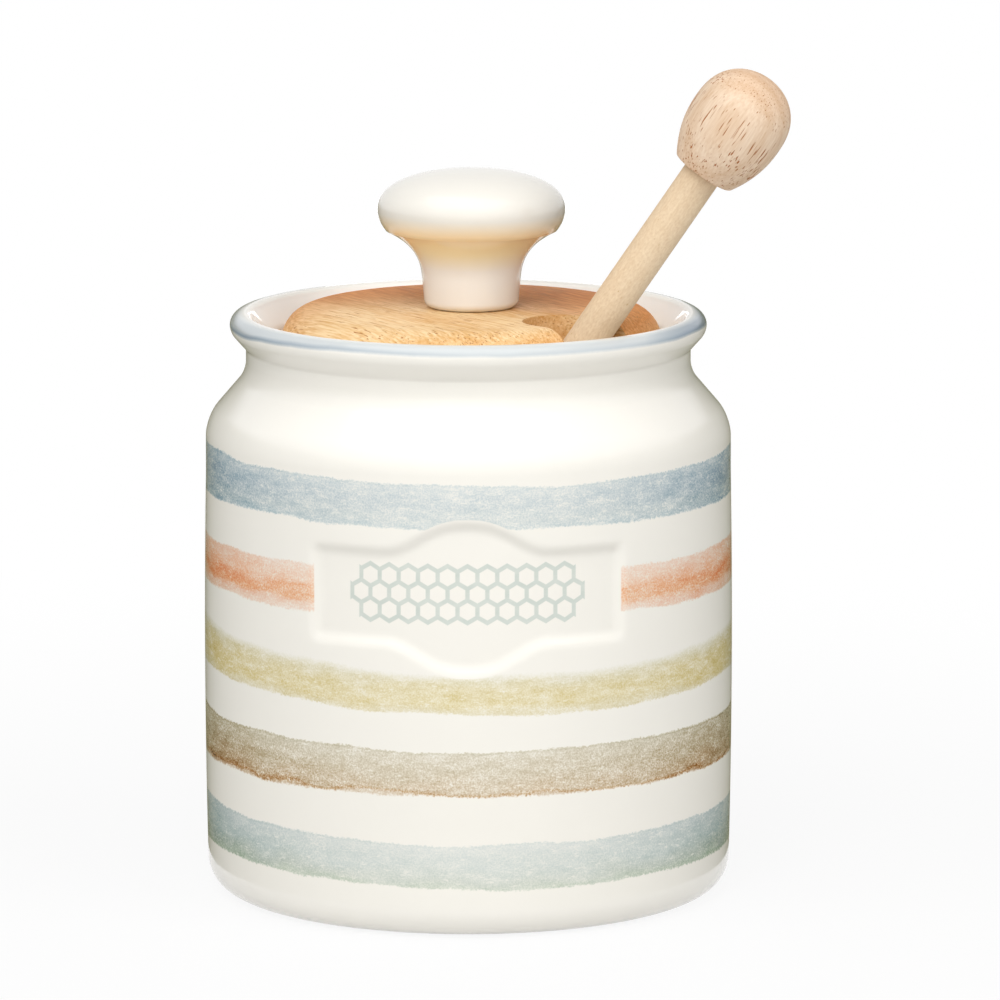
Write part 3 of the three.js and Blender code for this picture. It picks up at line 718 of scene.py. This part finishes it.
# an edge wanders by about 0.3 mm over 18 mm and has teeth of 0.1 mm every half a millimetre
WANDER, TEETH = 2.2, 0.9
rag = add(tree, "Math MULTIPLY_ADD", {0: teeth, 1: TEETH, 2: -(TEETH + WANDER) / 2})
rag = add(tree, "Math MULTIPLY_ADD", {0: wave, 1: WANDER, 2: rag})

# %% The bare margin of the label
# the label stays unpainted, with these margins past its long sides and its ends: painted is 0
# there and 1 elsewhere, by the outline pressed above
SIDE_MARGIN, END_MARGIN, SOFT = 1.3, 0.1, 0.1


def apart(value, middle):
    """How far a length is from a middle one, on either side of it."""
    return add(tree, "Math ABSOLUTE", {0: add(tree, "Math ADD", {0: value, 1: -middle})})


bell = across = add(tree, "Math ABSOLUTE", {0: x})
for operation, number in (("DIVIDE", LABEL_BELL_HALF_WIDTH), ("MINIMUM", 1.0),
                          ("POWER", LABEL_BELL_POWER), ("MULTIPLY", math.pi), ("COSINE", 0.0)):
    bell = add(tree, "Math " + operation, {0: bell, 1: number})
bell = add(tree, "Math MULTIPLY_ADD", {
    0: bell, 1: LABEL_BELL / 2, 2: LABEL_HALF_HEIGHT + LABEL_BELL / 2 + SIDE_MARGIN})
inside = add(tree, "Math SUBTRACT", {0: bell, 1: apart(z, LABEL_MIDDLE)})
ends = add(tree, "Math SUBTRACT", {0: LABEL_HALF_WIDTH + END_MARGIN, 1: across})
for limit in (ends, ahead):
    inside = add(tree, "Math MINIMUM", {0: inside, 1: limit})
painted = add(tree, "MapRange", {"Value": inside, "From Min": SOFT, "From Max": -SOFT})
# the inside of the pot stays unpainted too
outside = add(tree, "MapRange", {"Value": out, "From Min": INNER_RADIUS + 1,
                                 "From Max": INNER_RADIUS + 2})
for share in (cover, outside):
    painted = add(tree, "Math MULTIPLY", {0: painted, 1: share})


# %% Lay the bands on
def inside_edge(edge, sign):
    """How far a place is inside a band's edge, in millimetres, with the edge's wandering."""
    height, to_front, to_right = edge
    tilt = (-to_right * sign, -to_front * sign, sign)
    spot = add(tree, "VectorMath DOT_PRODUCT", {0: sides, 1: tilt})
    spot = add(tree, "Math ADD", {0: spot, 1: -height * sign})
    return add(tree, "Math ADD", {0: spot, 1: rag})


def lay_on(colour, coat, coats):
    """Look through a number of coats at a colour; coat is what one of them lets through."""
    through = add(tree, "Gamma", {"Color": coat, "Gamma": coats})
    return add(tree, "Mix", {0: 1.0, 6: colour, 7: through},
               data_type="RGBA", blend_type="MULTIPLY")


CLOUDING = 0.4  # how much of a band's height the clouds shift its colours by
POOL_FROM, POOL_TO = 0.5, 0.2
colour = add(tree, "RGB")
colour.outputs[0].default_value = linear(POT_BODY)
for name, band in BANDS.items():
    over, under = inside_edge(band["lower"], 1), inside_edge(band["upper"], -1)
    low_edge = add(tree, "MapRange", {"Value": over, "From Min": -SOFT, "From Max": 0.25})
    top_edge = add(tree, "MapRange", {"Value": under, "From Min": -SOFT, "From Max": band["fade"]})
    wide = add(tree, "Math ADD", {0: over, 1: under})
    run = add(tree, "Math DIVIDE", {0: over, 1: wide})
    run = add(tree, "Math ADD", {0: run, 1: -CLOUDING / 2})
    run = add(tree, "Math MULTIPLY_ADD", {0: clouds, 1: CLOUDING, 2: run})
    coats = 1 - (band["pores"] + band["strokes"]) / 2
    for marks, strength in ((pores, band["pores"]), (strokes, band["strokes"])):
        coats = add(tree, "Math MULTIPLY_ADD", {0: marks, 1: strength, 2: coats})
    pool = add(tree, "MapRange", {"Value": under, "From Min": POOL_FROM, "From Max": POOL_TO,
                                  "To Max": band["pool"]})
    coats = add(tree, "Math ADD", {0: coats, 1: pool})
    # painted shade: more coats towards the pot's left and right sides
    side_shade_factor = add(tree, "Math MULTIPLY_ADD", {0: painted_side_shade, 1: band["side_shade_coats"] - 1, 2: 1.0})
    for share in (side_shade_factor, low_edge, top_edge, painted):
        coats = add(tree, "Math MULTIPLY", {0: coats, 1: share})
    coats = add(tree, "Math MAXIMUM", {0: coats, 1: 0.0})
    colour = lay_on(colour, add(tree, "ValToRGB", {0: run}, stops=band["colours"]), coats)
    print(name, "is", round(band["upper"][0] - band["lower"][0], 1), "mm high")

# %% [markdown]
# The rim has a line of blue-grey too, brushed over the outer half of the lip. It pools along its
# lower edge. It is thickest at the right, where it was begun and ended, and that is partly painted
# shade too; on both sides it is thicker as painted shade. The label carries a strip of honeycomb in
# pale grey-green: a row of whole cells with a shorter row above and below.

# %% Line on the rim
RIM_COAT, RIM_LINE_RADIUS, RIM_LINE_HEIGHT = "DBE2EA", 43.4, 109.5
RIM_SOFT, RIM_WANDER, RIM_TEETH = 0.8, 1.0, 0.1
# from this X to that one the line drops by 0.75 mm, and its end lies 1.8 coats thicker, partly as
# painted shade
LEFT_DROP, RIGHT_END = (-33.0, -41.0, 0.75), (33.0, 43.0, 1.8)
outer = add(tree, "MapRange", {"Value": out, "From Min": RIM_LINE_RADIUS - RIM_SOFT,
                               "From Max": RIM_LINE_RADIUS + RIM_SOFT})
drop, end = (
    add(tree, "MapRange", {"Value": x, "From Min": first, "From Max": last, "To Max": most})
    for first, last, most in (LEFT_DROP, RIGHT_END))
low = add(tree, "Math MULTIPLY_ADD", {0: teeth, 1: RIM_TEETH, 2: z})
low = add(tree, "Math MULTIPLY_ADD", {0: wave, 1: RIM_WANDER, 2: low})
low = add(tree, "Math ADD", {0: low, 1: -RIM_LINE_HEIGHT - (RIM_WANDER + RIM_TEETH) / 2})
low = add(tree, "Math ADD", {0: low, 1: drop})
upper = add(tree, "MapRange", {"Value": low, "From Min": -0.3, "From Max": 0.3})
# it pools along its lower edge: more and more towards the left, a little all round, and at both
# sides as painted shade
pool = add(tree, "Math MULTIPLY", {0: x, 1: -0.025})
pool = add(tree, "Math MAXIMUM", {0: pool, 1: 0.0})
pool = add(tree, "Math MULTIPLY_ADD", {0: painted_side_shade, 1: 0.5, 2: pool})
pool = add(tree, "Math ADD", {0: pool, 1: 0.15})
near = add(tree, "MapRange", {"Value": low, "From Min": 1.0, "From Max": 0.4})
# painted shade: the line is darker towards the pot's left and right sides
coats = add(tree, "Math MULTIPLY_ADD", {0: painted_side_shade, 1: 0.3, 2: 1.0})
coats = add(tree, "Math MULTIPLY_ADD", {0: pool, 1: near, 2: coats})
coats = add(tree, "Math ADD", {0: coats, 1: end})
for share in (outer, upper):
    coats = add(tree, "Math MULTIPLY", {0: coats, 1: share})
colour = lay_on(colour, linear(RIM_COAT), coats)

# %% Painted light in the mouth
# painted light: from the lip's inner edge down, the glaze is painted whiter
painted_light_inside = add(tree, "MapRange", {"Value": out, "From Min": 42.0, "From Max": 41.0})
colour = add(tree, "Mix", {0: painted_light_inside, 6: colour, 7: linear("FFFDF8")}, data_type="RGBA")

# %% Honeycomb on the label
HONEYCOMB_HEIGHT, HONEYCOMB_COAT = 65.6, "DCE5E5"
CELL, CELLS, CELL_LINE, LINE_SOFT = 3.7, 12, 0.8, 0.08
turned = add(tree, "Math ARCTAN2", {0: x, 1: ahead})
along = add(tree, "Math MULTIPLY", {0: turned, 1: POT_RADIUS - LABEL_DEPTH})
far = add(tree, "Math ABSOLUTE", {0: along})
above = apart(z, HONEYCOMB_HEIGHT)
beside = apart(above, CELL * math.sqrt(3) / 2)
lines = None
for cells, height in ((CELLS, above), (CELLS - 1, beside)):
    edge = CELL * cells / 2
    across = add(tree, "Math ADD", {0: along, 1: edge - CELL / 2})
    across = add(tree, "Math WRAP", {0: across, 1: CELL / 2, 2: -CELL / 2})
    across = add(tree, "Math ABSOLUTE", {0: across})
    slant = add(tree, "Math MULTIPLY_ADD", {0: height, 1: math.sqrt(3), 2: across})
    slant = add(tree, "Math MULTIPLY", {0: slant, 1: 0.5})
    wall = add(tree, "Math MAXIMUM", {0: slant, 1: across})
    past_end = add(tree, "Math ADD", {0: far, 1: -edge})
    wall = add(tree, "Math MAXIMUM", {0: apart(wall, CELL / 2), 1: past_end})
    wall = add(tree, "MapRange", {"Value": wall, "From Min": CELL_LINE / 2 + LINE_SOFT,
                                  "From Max": CELL_LINE / 2 - LINE_SOFT})
    lines = add(tree, "Math MAXIMUM", {0: lines, 1: wall}) if lines else wall
ink = add(tree, "MapRange", {"Value": strokes, "From Min": 0.3, "From Max": 0.7,
                             "To Min": 1.15, "To Max": 0.85})
ink = add(tree, "Math MULTIPLY", {0: ink, 1: lines})
colour = lay_on(colour, linear(HONEYCOMB_COAT), ink)
print("honeycomb:", CELLS, "cells of", CELL, "mm")

# %% Bare foot
# the underside is wiped clean before firing, so that the pot doesn't stick to the shelf
bare_foot = add(tree, "MapRange", {"Value": z, "From Min": 0.5, "From Max": 0.2})
colour = add(tree, "Mix", {0: bare_foot, 6: colour, 7: linear("E9DFCB")}, data_type="RGBA")
rough = add(tree, "MapRange", {"Value": bare_foot, "To Min": GLAZE_ROUGHNESS, "To Max": 0.8})
tree.links.new(colour.outputs[2], shader.inputs["Base Color"])
tree.links.new(rough.outputs[0], shader.inputs["Roughness"])

# %% [markdown]
# ### Wood
# The same three things draw every light hardwood: growth rings round the heart of the tree, fine
# fibres along the grain, and pores or rays that show as short dark dashes along the grain and as
# dots on end grain. All are solid patterns in the grain's own frame, with the grain along Z, so a
# cut across it shows end grain without any extra work. End grain drinks the oil and is darker.
# Single fibres and pores are 0.02 to 0.1 mm wide, too fine to show, so they are drawn in bundles
# of about 0.2 mm.

# %% A hardwood
def finish_wood(piece, name, turn, light, dark, dash, heart, ring, fibre, dashes, tones, end,
                roughness, painted_back_shade=None):
    """Make a piece a light hardwood. turn takes Z to the grain; places and sizes are in mm.

    fibre is a length and width; dashes a length, width and threshold; tones the strength of
    rings and fibres. painted_back_shade is painted shade: a place, the two distances from it
    between which the wood is painted darker and redder, and its light and dark colour."""
    tree, place = new_material(name, piece)
    angles = turn.inverted().to_euler("XYZ")
    grain = add(tree, "Mapping", {"Vector": place, "Rotation": tuple(angles), "Location": heart})
    slow = add(tree, "VectorMath MULTIPLY", {0: grain, 1: (1, 1, 0.15)})
    wander = add(tree, "TexNoise", {"Vector": slow, "Scale": 1 / 18, "Detail": 2.0})
    bent = add(tree, "VectorMath MULTIPLY_ADD", {
        0: wander.outputs["Color"], 1: (6, 6, 0), 2: grain})
    # a wave repeats every pi / 10 divided by its scale
    rings = add(tree, "TexWave", {"Vector": bent, "Scale": math.pi / 10 / ring, "Distortion": 0.6,
                                  "Detail": 2.0, "Detail Scale": 2.0},
                wave_type="RINGS", rings_direction="Z").outputs["Fac"]
    *dash_size, threshold = dashes
    fibres, marks = (
        add(tree, "TexNoise", {
            "Vector": add(tree, "VectorMath MULTIPLY", {0: grain, 1: (1, 1, wide / long)}),
            "Scale": 0.5 / wide, "Detail": detail, "Roughness": grit})
        for long, wide, detail, grit in ((*fibre, 2.0, 0.6), (*dash_size, 1.0, 0.4)))
    # the dashes come in groups, some millimetres wide
    groups = add(tree, "TexNoise", {"Vector": grain, "Scale": 1 / 6, "Detail": 1.0})
    marks = add(tree, "Math MULTIPLY_ADD", {0: groups, 1: 0.3, 2: marks})
    marks = add(tree, "MapRange", {"Value": marks, "From Min": threshold + 0.15,
                                   "From Max": threshold + 0.22})
    tone = 0.5 - sum(tones) / 2
    for pattern, strength in zip((rings, fibres), tones):
        tone = add(tree, "Math MULTIPLY_ADD", {0: pattern, 1: strength, 2: tone})
    tone.use_clamp = True
    base = add(tree, "Mix", {0: tone, 6: linear(light), 7: linear(dark)}, data_type="RGBA")
    normal = add(tree, "TexCoord").outputs["Normal"]
    if painted_back_shade:
        # painted shade: farther from a place, the wood is painted darker and redder
        middle, first, last, back_shade_colour = painted_back_shade
        # its edge wanders: the noise adds 0 to 12 mm, and 6 on average
        away = add(tree, "VectorMath DISTANCE", {0: place, 1: middle})
        away = add(tree, "Math MULTIPLY_ADD", {0: wander, 1: 12.0, 2: away})
        back_shade_share = add(tree, "MapRange", {"Value": away, "From Min": first + 6,
                                        "From Max": last + 6, "To Max": 0.9},
                     interpolation_type="SMOOTHSTEP")
        # the painted shade lies on upward faces only, so that the notch's cut walls stay pale
        upright = add(tree, "SeparateXYZ", {0: normal}).outputs["Z"]
        upright = add(tree, "MapRange", {"Value": upright, "From Min": 0.2, "From Max": 0.8})
        back_shade_share = add(tree, "Math MULTIPLY", {0: back_shade_share, 1: upright})
        back_shade_colour = add(tree, "Mix", {0: tone, 6: linear(back_shade_colour[0]), 7: linear(back_shade_colour[1])}, data_type="RGBA")
        base = add(tree, "Mix", {0: back_shade_share, 6: base, 7: back_shade_colour}, data_type="RGBA")
    cut = add(tree, "VectorMath DOT_PRODUCT", {0: normal, 1: turn @ UP})
    cut = add(tree, "Math ABSOLUTE", {0: cut})
    cut = add(tree, "MapRange", {"Value": cut, "From Min": 0.35, "From Max": 0.95, "To Max": 0.75})
    base = add(tree, "Mix", {0: cut, 6: base, 7: linear(end)},
               data_type="RGBA", blend_type="MULTIPLY")
    marked = add(tree, "Mix", {0: marks, 6: base, 7: linear(dash)}, data_type="RGBA")
    height = add(tree, "Math MULTIPLY_ADD", {0: marks, 1: -1.0, 2: fibres})
    bump = add(tree, "Bump", {"Height": height, "Strength": 0.35, "Distance": 0.08 * MM})
    shader = add(tree, "BsdfPrincipled", {"Base Color": marked, "Roughness": roughness,
                                          "Specular IOR Level": 0.1, "Normal": bump})
    add(tree, "OutputMaterial", {"Surface": shader})


# the lid's grain runs to the front right, almost along its notch
lid_grain = UP.rotation_difference(Vector((1, -1.4, 0)).normalized())
# painted shade: the lid is painted darker and redder towards its back and right, behind the knob
finish_wood(
    lid, "oiled_beech_lid", lid_grain, light="F4D8AC", dark="DAAA6C", dash="B9814C", end="F9E4CA",
    heart=(-60, 30, 0), ring=4.5, fibre=(3.0, 0.25), dashes=(2.0, 0.16, 0.64), tones=(0.35, 2.4),
    roughness=0.55, painted_back_shade=((-8, -26, LID_TOP), 18, 50, ("E0903F", "B8641C")))
finish_wood(
    shaft, "sanded_birch_dowel", dipper_turn, light="E9D3B4", dark="DABF9D", dash="C9AA7C",
    end="E8D0B0", heart=(25, 12, 0), ring=3.0, fibre=(0.4, 0.18), dashes=(0.6, 0.2, 0.74),
    tones=(0.1, 2.2), roughness=0.6)
finish_wood(
    grip, "sanded_rubberwood", dipper_turn, light="ECD6BE", dark="D8B898", dash="A8683C",
    end="FAEEE4", heart=(30, -18, 0), ring=3.5, fibre=(3.0, 0.2), dashes=(3.0, 0.16, 0.64),
    tones=(0.4, 1.6), roughness=0.6)
finish_wood(
    head, "sanded_beech_head", dipper_turn, light="E8C496", dark="D5A473", dash="A87A4E",
    end="E0B48A", heart=(22, 9, 0), ring=2.5, fibre=(4.0, 0.3), dashes=(2.0, 0.2, 0.64),
    tones=(0.5, 1.0), roughness=0.55)

# %% [markdown]
# ### Metal of the fixing
# The insert is free-cutting brass and the screw and washer are zinc-plated steel. Metals have no
# colour of their own under the shine, so the base colour is the reflection, and fine turning
# marks round the axis break it up.

# %% Brass and zinc-plated steel
TURNING_MARK = 0.12  # real marks are half as far apart, too fine to show


def finish_metal(name, tint, roughness, *pieces):
    """Make pieces a metal with turning marks round the axis of the lid."""
    tree, place = new_material(name, *pieces)
    middle = add(tree, "VectorMath SUBTRACT", {0: place, 1: (LID_ASIDE, 0, 0)})
    marks = add(tree, "TexWave", {"Vector": middle, "Scale": math.pi / 10 / TURNING_MARK,
                                  "Distortion": 0.5},
                wave_type="RINGS", rings_direction="Z").outputs["Fac"]
    patina = add(tree, "TexNoise", {"Vector": place, "Scale": 1 / 1.2, "Detail": 3.0})
    rough = add(tree, "MapRange", {"Value": patina, "To Min": roughness - 0.08,
                                   "To Max": roughness + 0.12})
    bump = add(tree, "Bump", {"Height": marks, "Strength": 0.2, "Distance": 0.01 * MM})
    shader = add(tree, "BsdfPrincipled", {"Base Color": linear(tint), "Metallic": 1.0,
                                          "Roughness": rough, "Normal": bump})
    add(tree, "OutputMaterial", {"Surface": shader})


finish_metal("turned_brass", "D6B36A", 0.3, insert)
finish_metal("zinc_plated_steel", "C9CCD0", 0.28, washer, screw)

# %% [markdown]
# ## Floor, light and background
# The photograph is lit as white pots usually are: big soft lights overhead, in front and on both
# sides, and a white sweep under and behind the pot. A white glaze on white paper would lose its
# edge, so a photographer stands grey card close round the set, just out of view, and the glaze
# reflects it along its outline. The open cone of card here does that for every view, because
# neither the camera nor diffuse light sees it: only reflections do. Behind the pot a white card
# with a bright strip takes its place. They make the two small marks inside the lip.

# %% Floor
FLOOR_RADIUS = 6  # metres
FLOOR_GAP = 0.05  # below the foot, so that the two faces never lie in one plane
SHADOW_FROM, SHADOW_TO = 70.0, 350.0  # from the middle; between them the shadow fades out


def seen_white(tree):
    """1 for rays that see pure white: the camera's, reflected and refracted ones."""
    rays = add(tree, "LightPath").outputs
    seen = rays["Is Camera Ray"]
    for ray in ("Is Glossy Ray", "Is Transmission Ray"):
        seen = add(tree, "Math MAXIMUM", {0: seen, 1: rays[ray]})
    return seen


deselect()
bpy.ops.mesh.primitive_circle_add(
    vertices=64, radius=FLOOR_RADIUS, fill_type="NGON", location=(0, 0, -FLOOR_GAP * MM))
floor = bpy.context.object
floor.name = "floor"
bpy.ops.object.transform_apply(location=True)
tree, place = new_material("white_paper_sweep", floor)
paper = add(tree, "BsdfDiffuse", {"Color": linear("E8E8E8")})
white = add(tree, "Emission", {"Color": (1, 1, 1, 1), "Strength": 1.0})
away = add(tree, "VectorMath LENGTH", {0: place})
share = add(tree, "MapRange", {"Value": away, "From Min": SHADOW_FROM, "From Max": SHADOW_TO,
                               "To Min": 0.9, "To Max": 1.0}, interpolation_type="SMOOTHSTEP")
share = add(tree, "Math MULTIPLY", {0: seen_white(tree), 1: share})
sweep = add(tree, "MixShader", {0: share, 1: paper, 2: white})
add(tree, "OutputMaterial", {"Surface": sweep})

# %% Grey card round the set
CARD_FOOT, CARD_TOP, CARD_HEIGHT, CARD_FADE, CARD_GAP = 62, 145, 140, 118, 1


def stage_card(name):
    """Name the new card, which only reflections see, and give it a material; returns its tree and
    place.
    """
    card = bpy.context.object
    card.name = name
    bpy.ops.object.transform_apply(location=True, rotation=True, scale=True)
    card.visible_camera = card.visible_diffuse = card.visible_shadow = False
    return new_material(name, card)


deselect()
bpy.ops.mesh.primitive_cone_add(
    vertices=96, radius1=CARD_FOOT * MM, radius2=CARD_TOP * MM, depth=CARD_HEIGHT * MM,
    end_fill_type="NOTHING", location=(0, 0, (CARD_HEIGHT / 2 + CARD_GAP) * MM))
tree, place = stage_card("grey_card_ring")
tall = add(tree, "SeparateXYZ", {0: place}).outputs["Z"]
fade = add(tree, "MapRange", {"Value": tall, "From Min": CARD_FADE, "From Max": CARD_HEIGHT})
grey = add(tree, "Mix", {0: fade, 6: linear("7C7A5C"), 7: (1, 1, 1, 1)}, data_type="RGBA")
grey = add(tree, "Emission", {"Color": grey, "Strength": 1.0})
add(tree, "OutputMaterial", {"Surface": grey})

# %% White card and bright strip behind the pot
for name, middle, size, strength in (
    ("white_card", (0, 118, 130), (90, 34), 1.0),
    ("bright_strip", (0, 115, 116), (60, 12), 3.0),
):
    deselect()
    bpy.ops.mesh.primitive_plane_add(
        size=MM, location=Vector(middle) * MM, rotation=(math.pi / 2, 0, 0))
    bpy.context.object.scale = (*size, 1)
    tree = stage_card(name)[0]
    glow = add(tree, "Emission", {"Color": (1, 1, 1, 1), "Strength": strength})
    add(tree, "OutputMaterial", {"Surface": glow})

# %% Lamps
def softbox(name, place, aim, width, height, power):
    """An area lamp that faces a point; places and sizes in metres, power in watts."""
    deselect()
    bpy.ops.object.light_add(type="AREA", location=place)
    lamp = bpy.context.object
    lamp.name = name
    lamp.rotation_euler = (Vector(aim) - Vector(place)).to_track_quat("-Z", "Y").to_euler()
    lamp.data.shape = "RECTANGLE"
    lamp.data.size, lamp.data.size_y = width, height
    lamp.data.energy = power
    return lamp


MIDDLE = (0, 0, 0.08)
softbox("overhead_softbox", (-0.1, -0.25, 1.1), MIDDLE, 1.3, 1.0, 4.8)
for name, place, width, power in (
    ("key_softbox", (-0.25, -1.22, 1.05), 0.7, 10.1),
    ("left_softbox", (-1.07, -0.75, 0.95), 1.0, 5.9),
    ("right_softbox", (1.07, -0.75, 0.95), 1.0, 9.4),
):
    softbox(name, place, MIDDLE, width, 0.8, power).visible_glossy = False

# %% World
world = bpy.data.worlds.new("studio")
bpy.context.scene.world = world
world.use_nodes = True
tree = world.node_tree
tree.nodes.clear()
fill, white = (add(tree, "Background", {"Color": (1, 1, 1, 1), "Strength": strength})
               for strength in (0.1, 1.0))
mix = add(tree, "MixShader", {0: seen_white(tree), 1: fill, 2: white})
add(tree, "OutputWorld", {"Surface": mix})
bpy.context.scene.view_settings.view_transform = "Standard"
